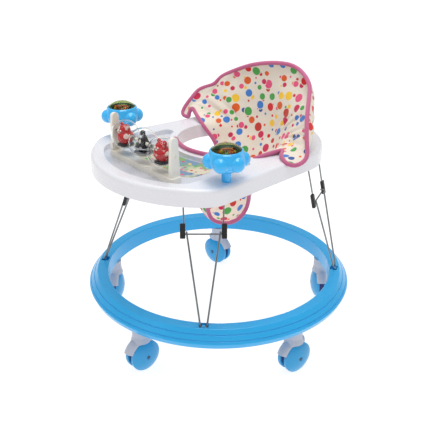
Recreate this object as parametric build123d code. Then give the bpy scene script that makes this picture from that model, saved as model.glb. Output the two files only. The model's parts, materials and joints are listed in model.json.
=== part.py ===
from build123d import *
import os
from math import atan2, cos, degrees, hypot, radians, sin, sqrt

# Baby walker. Millimetres, +Z up, front at -Y. The origin is on the floor under the middle of the base ring.

# ---- wheels and casters ----
wheel_diameter = 70.0
wheel_width = 7.2            # flat tread of one wheel
wheel_dome = 10.0            # how far the domed face stands out of the tread
wheel_edge = 1.5             # chamfer on the inner edge of the tread
wheel_shoulder = 20.5        # radius where the domed face starts to flatten
wheel_shoulder_out = 7.0    # how far the face stands out there
wheel_gap = 0.3              # between a wheel and the web, and at the end of its bore
hub_dot_radius = 5.0         # round recess in the middle of the domed face
hub_dot_depth = 1.0
hub_dot_floor = 4.3          # radius of the recess at its bottom
axle_radius = 3.0
axle_cover = 3.0             # plastic left between the end of the axle bore and the hub dot
core_half_width = 5.0        # half the web between the two wheels
core_rim_gap = 5.0           # how far the web stays inside the tread
caster_trail = 3.0           # how far the axle lies behind the swivel axis
hood_half_width = 12.2
hood_gap = 0.8               # between tread and hood
hood_wall = 1.8              # at the hood's side edges
hood_crown = 11.5            # wall at the middle of the hood's width
hood_front_angle = 22.0      # the hood starts above the axle's height
hood_back_angle = 118.0
neck_radius = 18.0
neck_flare = 3.2
neck_flare_height = 12.0
caster_angles = [-77.3, -3.5, 70.5, 140.5, 213.0]   # round the ring, from +X
caster_inset = 30.0          # from the ring's widest line in to the swivel axes
caster_height = 104.0        # floor to the underside of the ring
caster_top_gap = 0.5         # between hood neck and ring
stem_radius = 4.0
stem_rise = 24.0             # how far the stem goes up into the ring
stem_sink = 26.0             # how far it goes down into the hood neck
caster_headings = [-88.0, -92.0, -37.0, 10.0, -40.0]   # the way each hood faces, in degrees about +Z
caster_names = ["front", "right", "back_right", "back_left", "left"]

# ---- base ring ----
ring_radius = 300.0          # at its widest
ring_width = 44.0            # from its widest line in to the inner wall
ring_height = 36.5
ring_widest_rise = 12.0      # height of the widest line above the underside
ring_foot_inset = 5.3
ring_top_inset = 20.3
ring_wall = 3.0
ring_round = 2.4             # on the edges of the top and the outer wall
ring_groove_radius = 1.5
ring_groove_count = 3
boss_radius = 10.0
socket_roof = 2.0            # over the end of the stem

# ---- legs ----
# Each leg stands on the ring at its foot angle and faces its own way, so the four lean in as the tray needs.
foot_angles = {"front_right": -46.0, "back_right": 45.0, "back_left": 135.0, "front_left": -134.0}
leg_facings = {"front_right": -39.5, "back_right": 29.0, "back_left": 151.0, "front_left": -140.5}
knee_insets = {"front": 72.0, "back": 49.0}       # how far the knee lies inward of the foot
pivot_insets = {"front": 106.0, "back": 71.0}     # the same for the hinge under the tray
lower_wire_radius = 1.9
upper_wire_radius = 1.7
foot_inset = 30.0            # from the ring's widest line in to the foot hinges
foot_depth = 2.8             # foot hinge below the top of the ring
knee_rise = 174.3            # knee above the foot hinge
foot_half_span = 6.5         # half the foot bar of the lower wire
knee_half_span = 34.0        # of the lower wire at the knee
upper_half_span = 39.0       # of the upper wire at the knee
pivot_half_span = 42.5       # of the upper wire at the tray
hook_reach = 7.6             # how far the hooked ends pass over the knee bar
knee_gap = 0.3               # between the two wires at the knee
wire_bend_radius = 3.2
stub_end = 4.0               # where the upper wire's ends stop, from the middle of the leg
anchor_length = 6.0
anchor_width = 7.0
anchor_cover = 1.6           # plastic over the foot bar
pocket_length = 20.0
pocket_width = 16.0
pocket_wall = 2.5
pocket_shift = 3.0           # the pocket lies a little inward of the foot hinge, where the leg leans
anchor_floor = 3.6           # plastic under the foot bar
sleeve_below = 9.0
sleeve_above = 22.0
sleeve_inner = 36.6
sleeve_outer = 47.6
sleeve_depth = 7.4
sleeve_round = 1.8
bracket_length = 24.0
bracket_width = 10.0
bracket_cover = 2.8
pivot_gap = 0.05             # radial clearance of every turning pin

# ---- tray ----
tray_top = 437.4
tray_skirt = 35.5
tray_wall = 3.0
tray_round = 9.0
tray_front_y = -282.0
tray_back_y = 237.5
tray_wide_half = 204.0       # half width at the front corners
tray_narrow_half = 178.0     # half width at the back corners
tray_front_sweep = 36.0      # how much longer the front's radius is than its half width
tray_back_sweep = 17.0       # the same for the back
tray_front_corner = 58.0
tray_back_corner = 74.0
well_centre_y = 33.0
well_half_x = 122.0
well_half_y = 116.0
well_lip = 16.0              # raised band round the seat well
well_depth = 31.0
play_depth = 10.0            # play surface below the rim
play_rim = 28.0
play_half_x = 144.0
play_back_y = -30.0
play_front_corner = 34.0
play_back_corner = 12.0
picture_thickness = 0.8
picture_half_x = 106.0
picture_front_y = -168.0
picture_back_y = -92.0
picture_corner = 30.0
picture_edge = 4.0           # bare strip between the card and the lip of the well

# ---- toy bar ----
toy_bar_y = -196.0
toy_bar_half = 111.0
toy_base_width = 28.0
toy_base_height = 12.0
toy_base_round = 8.0
toy_wall = 2.5
rod_radius = 3.0
rod_rise = 54.6              # above the play surface
post_x = 103.0
post_thickness = 8.0
post_width = 23.0
post_top_width = 15.0
post_rise = 37.0             # above the rod
post_top_flat = 0.5          # left between the two rounds of a post's top
rod_end = 1.0                # how far the rod stands out of a post
ball_radius = 30.0
ball_wall = 1.5
ball_pitch = 65.5
ball_boss_radius = 5.0
ball_boss_length = 2.4
figure_radius = 13.0
figure_foot_radius = 10.0
figure_foot_height = 6.0
figure_foot_drop = 9.1       # from the rod down to the foot's top
figure_foot_sink = 3.0       # how far the foot goes up into the body
ball_names = ["left", "middle", "right"]

# ---- flower spinners ----
flower_x = 179.0
flower_y = -129.0
flower_stem_radius = 9.3
flower_stem_height = 19.0
flower_pin_radius = 4.0
flower_pin_height = 12.0
flower_gap = 0.5             # between the stem's shoulder and the flower
flower_height = 45.0
flower_rim_radius = 33.0
flower_foot_radius = 12.0
flower_waist_radius = 29.0   # on the curve of the bowl's underside
flower_waist_height = 9.5
flower_belly_radius = 38.0   # the bowl at its widest
flower_belly_height = 24.5
flower_rim_round = 2.0
flower_lobe_count = 6
flower_lobe_radius = 15.3
flower_lobe_circle = 31.0
flower_lobe_rise = 23.5
flower_cup_radius = 29.5
flower_cup_depth = 12.0
dome_height = 12.0
dome_wall = 1.6
disc_thickness = 3.0

# ---- seat ----
fabric = 5.0                 # padded cloth of the back
sling_thickness = 4.0
cloth_gap = 0.3
cut_margin = 1.0             # how far a cut runs past the faces it opens
band_bottom_drop = 29.0      # how far the cloth band reaches down the well
band_rise = 3.0
back_foot_margin = 4.0       # the back stands this far outside the well
# Each station of the back: angle round the well, then the place of the top edge.
back_stations = [
    (-6.0, (172.0, 16.0, 443.5)),
    (8.0, (190.0, 38.0, 443.5)),
    (24.0, (190.0, 74.0, 463.0)),
    (43.0, (156.0, 117.0, 528.0)),
    (67.0, (96.0, 158.0, 574.0)),
    (90.0, (0.0, 168.0, 588.0)),
    (113.0, (-96.0, 151.0, 557.0)),
    (137.0, (-148.0, 101.0, 517.0)),
    (157.0, (-183.0, 66.0, 470.0)),
    (171.0, (-191.0, 48.0, 449.0)),
    (186.0, (-172.0, 20.0, 443.5)),
]
# The sling's middle line from the front of the well down to the crotch and up to the back: (Y, Z).
sling_line = [
    (-79.5, 416.0), (-60.0, 352.0), (-37.0, 302.0), (-20.0, 268.0), (-8.0, 252.0), (14.0, 249.0), (36.0, 259.0),
    (62.0, 306.0), (98.0, 362.0), (145.0, 416.0)]
# Half of its outline seen from the front: (X, Z). It narrows to the crotch.
sling_side = [(25.0, 240.0), (27.0, 252.0), (38.0, 305.0), (46.0, 356.0), (48.0, 420.0)]

wheel_radius = wheel_diameter / 2
caster_circle_radius = ring_radius - caster_inset
ring_inner_radius = ring_radius - ring_width
foot_radius = ring_radius - foot_inset
ring_bottom = caster_height
ring_top = ring_bottom + ring_height
foot_height = ring_top - foot_depth
pocket_depth = foot_depth + lower_wire_radius + anchor_floor
play_floor = tray_top - play_depth
tray_front_radius = tray_wide_half + tray_front_sweep
tray_back_radius = tray_narrow_half + tray_back_sweep
rod_height = play_floor + rod_rise
post_top = rod_height + post_rise
tray_bottom = tray_top - tray_skirt
play_underside = play_floor - tray_wall
rim_underside = tray_top - tray_wall
knee_height = foot_height + knee_rise
pivot_height = play_underside - bracket_cover - upper_wire_radius - bracket_cover


def save(node, *solids):
    """Writes one node; several solids make one file."""
    shape = solids[0] if len(solids) == 1 else Compound(children=list(solids))
    export_step(shape, f"parts/{node}.step")


def bent_wire(points, radius):
    """A round wire through corner points, each corner bent to the wire's bend radius."""
    path = FilletPolyline(*points, radius=wire_bend_radius)
    return sweep(Plane(origin=path @ 0, z_dir=path % 0) * Circle(radius), path=path)


# ================= base ring =================
def ring_outline():
    """Half section of the ring: flat foot and top, straight inner wall, sloping outer wall."""
    corners = [
        (ring_inner_radius, ring_bottom),
        (ring_radius - ring_foot_inset, ring_bottom),
        (ring_radius, ring_bottom + ring_widest_rise),
        (ring_radius - ring_top_inset, ring_top),
        (ring_inner_radius, ring_top),
    ]
    return make_face(Polyline(*corners, close=True))


def around_axis(face):
    """Turns a section drawn in X (radius) and Y (height) about the vertical axis."""
    return revolve(Plane.XZ * face, axis=Axis.Z)


def caster_place(index):
    a = radians(caster_angles[index])
    return caster_circle_radius * cos(a), caster_circle_radius * sin(a)


def leg_place(name):
    """A leg's own frame: foot hinge over the origin, +X the way the leg faces."""
    a = radians(foot_angles[name])
    return Pos(foot_radius * cos(a), foot_radius * sin(a), 0) * Rot(0, 0, leg_facings[name])


def base_ring():
    outline = ring_outline()
    rounded = fillet(outline.vertices().filter_by(lambda v: v.Y > ring_bottom + ring_wall), ring_round)
    body = around_axis(rounded)
    hollow = around_axis(offset(outline, amount=-ring_wall, kind=Kind.INTERSECTION))
    inserts = []
    for index in range(len(caster_angles)):
        x, y = caster_place(index)
        boss = Pos(x, y, ring_bottom) * Cylinder(
            boss_radius, ring_height, align=(Align.CENTER, Align.CENTER, Align.MIN))
        inserts.append(boss)
    block = Box(pocket_width + 2 * pocket_wall, pocket_length + 2 * pocket_wall, ring_height,
                align=(Align.CENTER, Align.CENTER, Align.MIN))
    for name in foot_angles:
        inserts.append(leg_place(name) * Pos(-pocket_shift, 0, ring_bottom) * block)
    solid = body - hollow
    for insert in inserts:
        solid += insert & body
    for index in range(len(caster_angles)):
        x, y = caster_place(index)
        socket = Cylinder(stem_radius + pivot_gap, stem_rise + socket_roof,
                          align=(Align.CENTER, Align.CENTER, Align.MIN))
        solid -= Pos(x, y, ring_bottom) * socket
    pocket = Box(pocket_width, pocket_length, pocket_depth, align=(Align.CENTER, Align.CENTER, Align.MAX))
    for name in foot_angles:
        solid -= leg_place(name) * Pos(-pocket_shift, 0, ring_top) * pocket
    slope_top = Vector(ring_radius - ring_top_inset, ring_top)
    slope_foot = Vector(ring_radius, ring_bottom + ring_widest_rise)
    for index in range(ring_groove_count):
        place = slope_foot + (slope_top - slope_foot) * ((index + 1) / (ring_groove_count + 2))
        solid -= around_axis(Pos(place.X, place.Y) * Circle(ring_groove_radius))
    return solid


def leg_anchor():
    """Bearing block on the pocket floor; the foot bar of the lower wire turns in it."""
    height = pocket_depth - foot_depth + lower_wire_radius + anchor_cover
    block = Pos(0, 0, ring_top - pocket_depth) * Box(
        anchor_width, anchor_length, height, align=(Align.CENTER, Align.CENTER, Align.MIN))
    bore = Rot(90, 0, 0) * Cylinder(lower_wire_radius + pivot_gap, anchor_length * 2)
    return block - Pos(0, 0, foot_height) * bore


# ================= casters =================
def axle_disc(radius, half_width):
    """A disc about the axle, in the caster's own frame: stem on Z, hood facing +Y."""
    return Pos(0, -caster_trail, wheel_radius) * Rot(0, 90, 0) * Cylinder(radius, half_width * 2)


def hood_wedge(radius, half_width):
    """The sector that the hood covers, as a slab."""
    start = hood_front_angle
    span = hood_back_angle - hood_front_angle
    face = make_face(
        Polyline((radius * cos(radians(start + span)), radius * sin(radians(start + span))), (0, 0),
                 (radius * cos(radians(start)), radius * sin(radians(start))))
        + CenterArc((0, 0), radius, start, span))
    slab = extrude(Plane.YZ * face, amount=half_width, both=True)
    return Pos(0, -caster_trail, wheel_radius) * slab


hood_inner_radius = wheel_radius + hood_gap
hood_outer_radius = hood_inner_radius + hood_crown


def caster_hood():
    edge = hood_inner_radius + hood_wall
    half = hood_half_width
    crown = ThreePointArc((-half, edge), (0, hood_outer_radius), (half, edge))
    section = make_face(crown + Polyline((half, edge), (half, 0), (-half, 0), (-half, edge)))
    barrel = Pos(0, -caster_trail, wheel_radius) * revolve(section, axis=Axis.X)
    shell = barrel & hood_wedge(hood_outer_radius * 2, hood_half_width)
    shell -= axle_disc(hood_inner_radius, hood_half_width * 2)
    neck_top = caster_height - caster_top_gap
    neck_foot = wheel_radius
    neck = Pos(0, 0, neck_foot) * Cylinder(
        neck_radius, neck_top - neck_foot, align=(Align.CENTER, Align.CENTER, Align.MIN))
    flare_foot = wheel_radius + hood_outer_radius - hood_crown
    flare = Pos(0, 0, flare_foot) * Cone(
        neck_radius + neck_flare, neck_radius, neck_flare_height, align=(Align.CENTER, Align.CENTER, Align.MIN))
    solid = shell + ((neck + flare) - axle_disc(hood_inner_radius, hood_half_width * 2))
    bore = Pos(0, 0, caster_height - stem_sink) * Cylinder(
        stem_radius, stem_sink, align=(Align.CENTER, Align.CENTER, Align.MIN))
    return solid - bore


def caster_core():
    web = axle_disc(wheel_radius - core_rim_gap, core_half_width)
    web += hood_wedge(hood_inner_radius, core_half_width)
    return web - axle_disc(axle_radius, core_half_width * 2)


axle_half_length = core_half_width + wheel_width + wheel_dome - hub_dot_depth - axle_cover


def caster_pins():
    stem = Pos(0, 0, caster_height - stem_sink) * Cylinder(
        stem_radius, stem_sink + stem_rise, align=(Align.CENTER, Align.CENTER, Align.MIN))
    return [stem, axle_disc(axle_radius, axle_half_length)]


def wheel():
    """One wheel, on the +X side: flat tread, chamfered inner edge, domed face with a hub dot."""
    inner = core_half_width + wheel_gap
    tread_end = inner + wheel_width
    face_end = tread_end + wheel_dome - wheel_gap
    bore = axle_radius + pivot_gap
    bore_end = axle_half_length + wheel_gap
    shoulder = (tread_end + wheel_shoulder_out, wheel_shoulder)
    dome = ThreePointArc((tread_end, wheel_radius), shoulder, (face_end, hub_dot_radius))
    rest = Polyline((face_end, hub_dot_radius), (face_end - hub_dot_depth, hub_dot_floor),
                    (face_end - hub_dot_depth, 0), (bore_end, 0), (bore_end, bore), (inner, bore),
                    (inner, wheel_radius - wheel_edge), (inner + wheel_edge, wheel_radius), (tread_end, wheel_radius))
    face = make_face(dome + rest)
    return Pos(0, -caster_trail, wheel_radius) * revolve(face, axis=Axis.X)


# ================= legs =================
def step_from(point, lean, up, inwards):
    """Moves a (radial, height) point up a wire that leans in by an angle, and square to it inward."""
    x = point[0] - sin(lean) * up - cos(lean) * inwards
    z = point[1] + cos(lean) * up - sin(lean) * inwards
    return x, z


def leg_frame(pair):
    """Knee, tray hinge and the lean of the lower and upper wire, for the front or the back pair."""
    knee = (-knee_insets[pair], knee_height)
    pivot = (-pivot_insets[pair], pivot_height)
    lower_lean = atan2(-knee[0], knee[1] - foot_height)
    upper_lean = atan2(knee[0] - pivot[0], pivot[1] - knee[1])
    return knee, pivot, lower_lean, upper_lean


wires_apart = lower_wire_radius + upper_wire_radius + knee_gap


def lower_wire(pair):
    """V-shaped wire: foot bar in the ring, arms that spread to the knee, ends hooked over the knee bar."""
    knee, pivot, lean, upper_lean = leg_frame(pair)
    shoulder_x, shoulder_z = step_from(knee, lean, wires_apart, -wires_apart)
    hook_x, hook_z = step_from(knee, lean, wires_apart, hook_reach - wires_apart)
    side = knee_half_span
    points = [
        (hook_x, -side, hook_z),
        (shoulder_x, -side, shoulder_z),
        (0, -foot_half_span, foot_height),
        (0, foot_half_span, foot_height),
        (shoulder_x, side, shoulder_z),
        (hook_x, side, hook_z),
    ]
    return bent_wire(points, lower_wire_radius)


def upper_wire(pair):
    """Loop of wire: knee bar below, two arms, ends turned in to the bracket under the tray."""
    knee, pivot, lean, upper_lean = leg_frame(pair)
    points = [
        (pivot[0], -stub_end, pivot[1]),
        (pivot[0], -pivot_half_span, pivot[1]),
        (knee[0], -upper_half_span, knee[1]),
        (knee[0], upper_half_span, knee[1]),
        (pivot[0], pivot_half_span, pivot[1]),
        (pivot[0], stub_end, pivot[1]),
    ]
    return bent_wire(points, upper_wire_radius)


def leg_sleeves(pair):
    """Two black knuckle sleeves on the lower corners of the upper wire."""
    knee, pivot, lean, upper_lean = leg_frame(pair)
    block = Box(sleeve_depth, sleeve_outer - sleeve_inner, sleeve_below + sleeve_above)
    block = fillet(block.edges(), sleeve_round)
    x, z = step_from(knee, upper_lean, (sleeve_above - sleeve_below) / 2, 0)
    wire = upper_wire(pair)
    sleeves = []
    for side in (-1, 1):
        y = side * (sleeve_inner + sleeve_outer) / 2
        sleeves.append(Pos(x, y, z) * Rot(0, -degrees(upper_lean), 0) * block - wire)
    return sleeves


def leg_bracket(pair):
    """Block under the tray that the ends of the upper wire turn in."""
    knee, pivot, lean, upper_lean = leg_frame(pair)
    roof = play_underside if pair == "front" else rim_underside
    foot = pivot[1] - upper_wire_radius - bracket_cover
    block = Pos(pivot[0], 0, foot) * Box(
        bracket_width, bracket_length, roof - foot, align=(Align.CENTER, Align.CENTER, Align.MIN))
    bore = Rot(90, 0, 0) * Cylinder(upper_wire_radius + pivot_gap, bracket_length * 2)
    return block - Pos(pivot[0], 0, pivot[1]) * bore


# ================= tray =================
def tray_outline():
    """Plan of the tray: wide rounded front, gently tapering sides, narrower rounded back."""
    front_drop = tray_front_radius - sqrt(tray_front_radius ** 2 - tray_wide_half ** 2)
    back_drop = tray_back_radius - sqrt(tray_back_radius ** 2 - tray_narrow_half ** 2)
    front_end = tray_front_y + front_drop
    back_end = tray_back_y - back_drop
    edges = ThreePointArc((-tray_wide_half, front_end), (0, tray_front_y), (tray_wide_half, front_end))
    edges += Line((tray_wide_half, front_end), (tray_narrow_half, back_end))
    edges += ThreePointArc((tray_narrow_half, back_end), (0, tray_back_y), (-tray_narrow_half, back_end))
    edges += Line((-tray_narrow_half, back_end), (-tray_wide_half, front_end))
    face = make_face(edges)
    front = face.vertices().filter_by(lambda v: v.Y < 0)
    face = fillet(front, tray_front_corner)
    back = face.vertices().sort_by(Axis.Y)[-2:]
    return fillet(back, tray_back_corner)


def well_face(grow):
    return Pos(0, well_centre_y) * Ellipse(well_half_x + grow, well_half_y + grow)


def play_face(grow):
    """Plan of the sunk play surface, grown or shrunk by a margin."""
    margin = play_rim - grow
    field = offset(tray_outline(), amount=-margin)
    depth = play_back_y + grow - tray_front_y
    window = Pos(0, play_back_y + grow - depth / 2) * Rectangle(2 * (play_half_x + grow), depth)
    field = (field & window) - well_face(well_lip - grow)
    field = fillet(field.vertices().filter_by(lambda v: v.Y < flower_y), play_front_corner + grow)
    return fillet(field.vertices().filter_by(lambda v: v.Y > flower_y), play_back_corner)


def tray_shell():
    outline = tray_outline()
    solid = Pos(0, 0, tray_bottom) * extrude(outline, amount=tray_skirt)
    solid = fillet(solid.edges().group_by(Axis.Z)[-1], tray_round)
    inside = offset(outline, amount=-tray_wall)
    solid -= Pos(0, 0, tray_bottom) * extrude(inside, amount=rim_underside - tray_bottom - tray_round / 2)
    core = offset(outline, amount=-tray_wall - tray_round / 2)
    solid -= Pos(0, 0, tray_bottom) * extrude(core, amount=rim_underside - tray_bottom)
    play = play_face(0.0)
    pan = Pos(0, 0, play_underside) * extrude(play_face(tray_wall), amount=play_depth)
    solid += pan
    solid -= Pos(0, 0, play_floor) * extrude(play, amount=play_depth)
    wall = Pos(0, 0, tray_top - well_depth) * extrude(well_face(tray_wall), amount=well_depth - tray_wall / 2)
    solid += wall
    solid -= Pos(0, 0, tray_bottom - cut_margin) * extrude(well_face(0.0), amount=tray_skirt + 2 * cut_margin)
    return solid


def picture():
    """Thin card on the play surface between the toy bar and the seat well."""
    length = picture_back_y - picture_front_y
    card = Pos(0, (picture_front_y + picture_back_y) / 2) * RectangleRounded(
        2 * picture_half_x, length, picture_corner)
    card = card - well_face(well_lip + picture_edge)
    return Pos(0, 0, play_floor) * extrude(card, amount=picture_thickness)


# ================= toy bar =================
def toy_bar_frame():
    base = Pos(0, toy_bar_y) * RectangleRounded(2 * toy_bar_half, toy_base_width, toy_base_round)
    hollow = Pos(0, toy_bar_y) * RectangleRounded(
        2 * (toy_bar_half - toy_wall), toy_base_width - 2 * toy_wall, toy_base_round - toy_wall)
    solid = Pos(0, 0, play_floor) * extrude(base, amount=toy_base_height)
    solid = fillet(solid.edges().group_by(Axis.Z)[-1], toy_wall)
    solid -= Pos(0, 0, play_floor) * extrude(hollow, amount=toy_base_height - toy_wall)
    foot = play_floor + toy_base_height - toy_wall
    top_round = post_top_width / 2 - post_top_flat
    profile = make_face(Polyline(
        (-post_width / 2, foot), (post_width / 2, foot), (post_top_width / 2, post_top),
        (-post_top_width / 2, post_top), close=True))
    profile = fillet(profile.vertices().group_by(Axis.Y)[-1], top_round)
    post = extrude(Plane.YZ * profile, amount=post_thickness / 2, both=True)
    for side in (-1, 1):
        solid += Pos(side * post_x, toy_bar_y, 0) * post
    bore = Rot(0, 90, 0) * Cylinder(rod_radius, 2 * toy_bar_half)
    return solid - Pos(0, toy_bar_y, rod_height) * bore


def toy_bar_rod():
    half = post_x + post_thickness / 2 + rod_end
    return Pos(0, toy_bar_y, rod_height) * Rot(0, 90, 0) * Cylinder(rod_radius, 2 * half)


figure_half = sqrt((ball_radius - ball_wall) ** 2 - ball_boss_radius ** 2) - ball_boss_length


def ball_shell(x):
    """Clear rattle ball with a short boss at each end, bored for the rod."""
    shell = Sphere(ball_radius) - Sphere(ball_radius - ball_wall)
    plug = Rot(0, 90, 0) * Cylinder(ball_boss_radius, 2 * ball_radius)
    gap = Rot(0, 90, 0) * Cylinder(ball_boss_radius * 2, 2 * figure_half)
    shell += (plug & Sphere(ball_radius)) - gap
    shell -= Rot(0, 90, 0) * Cylinder(rod_radius + pivot_gap, 4 * ball_radius)
    return Pos(x, toy_bar_y, rod_height) * shell


def ball_figure(x):
    """Rattle core: a tube between the bosses, a round body on it and a weighted foot under it."""
    tube = Rot(0, 90, 0) * Cylinder(ball_boss_radius, 2 * figure_half)
    foot = Pos(0, 0, -figure_foot_drop - figure_foot_height) * Cylinder(
        figure_foot_radius, figure_foot_height + figure_foot_sink, align=(Align.CENTER, Align.CENTER, Align.MIN))
    core = tube + Sphere(figure_radius) + foot
    core -= Rot(0, 90, 0) * Cylinder(rod_radius + pivot_gap, 4 * ball_radius)
    return Pos(x, toy_bar_y, rod_height) * core


# ================= flower spinners =================
flower_base = tray_top + flower_stem_height + flower_gap


def flower_stem(x):
    stem = Pos(x, flower_y, tray_top) * Cylinder(
        flower_stem_radius, flower_stem_height, align=(Align.CENTER, Align.CENTER, Align.MIN))
    pin = Pos(x, flower_y, tray_top + flower_stem_height) * Cylinder(
        flower_pin_radius, flower_pin_height, align=(Align.CENTER, Align.CENTER, Align.MIN))
    return stem + pin


def flower_body(x):
    """Bowl with round lobes, a cup for the disc and dome above and a blind bore for the pin below."""
    foot = (flower_foot_radius, 0)
    belly = (flower_belly_radius, flower_belly_height)
    under = ThreePointArc(foot, (flower_waist_radius, flower_waist_height), belly)
    rest = Polyline(belly, (flower_rim_radius, flower_height - flower_rim_round),
                    (flower_rim_radius - flower_rim_round, flower_height), (0, flower_height), (0, 0), foot)
    side = make_face(under + rest)
    bowl = around_axis(side)
    for index in range(flower_lobe_count):
        a = radians(index * 360.0 / flower_lobe_count)
        place = Pos(flower_lobe_circle * cos(a), flower_lobe_circle * sin(a), flower_lobe_rise)
        bowl += place * Sphere(flower_lobe_radius)
    bowl -= Pos(0, 0, flower_height - flower_cup_depth) * Cylinder(
        flower_cup_radius, flower_cup_depth, align=(Align.CENTER, Align.CENTER, Align.MIN))
    bowl -= Cylinder(flower_pin_radius + pivot_gap, flower_pin_height + flower_gap,
                     align=(Align.CENTER, Align.CENTER, Align.MIN))
    return Pos(x, flower_y, flower_base) * bowl


def flower_disc(x):
    floor = flower_base + flower_height - flower_cup_depth
    return Pos(x, flower_y, floor) * Cylinder(
        flower_cup_radius, disc_thickness, align=(Align.CENTER, Align.CENTER, Align.MIN))


def flower_dome(x):
    """Clear dome whose skirt stands in the cup on the disc."""
    skirt = flower_cup_depth - disc_thickness
    sphere_radius = (flower_cup_radius ** 2 + dome_height ** 2) / (2 * dome_height)

    def solid(shrink):
        radius = flower_cup_radius - shrink
        cap_radius = sphere_radius - shrink
        cap = Pos(0, 0, skirt + dome_height - sphere_radius) * Sphere(cap_radius)
        window = Cylinder(radius, dome_height, align=(Align.CENTER, Align.CENTER, Align.MIN))
        tube = Cylinder(radius, skirt, align=(Align.CENTER, Align.CENTER, Align.MIN))
        return (cap & (Pos(0, 0, skirt) * window)) + tube

    floor = flower_base + flower_height - flower_cup_depth + disc_thickness
    return Pos(x, flower_y, floor) * (solid(0.0) - solid(dome_wall))


# ================= seat =================
def back_section(angle, top):
    """Cross-section of the padded back at one station: from the lip of the well to the top edge."""
    a = radians(angle)
    low_x = (well_half_x + back_foot_margin) * cos(a)
    low_y = well_centre_y + (well_half_y + back_foot_margin) * sin(a)
    low = Vector(low_x, low_y, tray_top + cloth_gap)
    high = Vector(*top)
    reach = hypot(high.X - low.X, high.Y - low.Y)
    rise = high.Z - low.Z
    length = hypot(reach, rise)
    out_x = (high.X - low.X) / reach
    out_y = (high.Y - low.Y) / reach
    step = Vector(out_x * rise, out_y * rise, -reach) * (fabric / length)
    low = low + Vector(0, 0, -step.Z)
    return make_face(Polyline(low, high, high + step, low + step, close=True))


def seat_back():
    sections = [back_section(angle, top) for angle, top in back_stations]
    return loft(sections, ruled=True)


def seat_sling():
    """Band of cloth round the well and the strip that hangs from it, with a leg hole each side."""
    band_foot = tray_top - band_bottom_drop
    band = Pos(0, 0, band_foot) * extrude(
        well_face(-cloth_gap) - well_face(-cloth_gap - sling_thickness), amount=band_bottom_drop + band_rise)
    line = Polyline(*sling_line)
    strip = offset(line, amount=sling_thickness / 2, side=Side.BOTH)
    face = make_face(strip)
    widest = sling_side[-1][0]
    hanging = extrude(Plane.YZ * face, amount=widest, both=True)
    right_side = sling_side
    left_side = [(-x, z) for x, z in reversed(sling_side)]
    outline = make_face(Polyline(*right_side, *left_side, close=True))
    hanging &= extrude(Plane.XZ * outline, amount=tray_back_y, both=True)
    inside = Pos(0, 0, -ring_top) * extrude(well_face(-cloth_gap), amount=2 * tray_top)
    return band + (hanging & inside)


def main():
    os.makedirs("parts", exist_ok=True)
    save("base_ring", base_ring())
    save("leg_anchors", *[leg_place(name) * leg_anchor() for name in foot_angles])
    for index, name in enumerate(caster_names):
        x, y = caster_place(index)
        place = Pos(x, y, 0) * Rot(0, 0, caster_headings[index] - 90.0)
        save(f"caster_hood_{name}", place * caster_hood())
        save(f"caster_core_{name}", place * caster_core())
        save(f"caster_pins_{name}", *[place * pin for pin in caster_pins()])
        one = wheel()
        save(f"wheel_inner_{name}", place * mirror(one, about=Plane.YZ))
        save(f"wheel_outer_{name}", place * one)
    brackets = []
    for name in foot_angles:
        place = leg_place(name)
        pair = name.split("_")[0]
        save(f"leg_lower_wire_{name}", place * lower_wire(pair))
        save(f"leg_upper_wire_{name}", place * upper_wire(pair))
        save(f"leg_sleeves_{name}", *[place * sleeve for sleeve in leg_sleeves(pair)])
        brackets.append(place * leg_bracket(pair))
    save("tray_shell", tray_shell())
    save("tray_brackets", *brackets)
    save("tray_picture", picture())
    save("toy_bar_frame", toy_bar_frame())
    save("toy_bar_rod", toy_bar_rod())
    for index, name in enumerate(ball_names):
        x = (index - 1) * ball_pitch
        save(f"ball_shell_{name}", ball_shell(x))
        save(f"ball_figure_{name}", ball_figure(x))
    save("flower_stems", flower_stem(-flower_x), flower_stem(flower_x))
    for name, x in (("left", -flower_x), ("right", flower_x)):
        save(f"flower_body_{name}", flower_body(x))
        save(f"flower_disc_{name}", flower_disc(x))
        save(f"flower_dome_{name}", flower_dome(x))
    save("seat_back", seat_back())
    save("seat_sling", seat_sling())


main()
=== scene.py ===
# %% [markdown]
# # A baby walker in Blender
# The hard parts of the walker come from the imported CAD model, already in place and in metres.
# This lesson gives them their finishes and builds the soft parts, the toys' insides and the trim as new meshes.

# %% Load the frame
import json
import math
import random

import bmesh
import bpy
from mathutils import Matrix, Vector, noise


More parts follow.
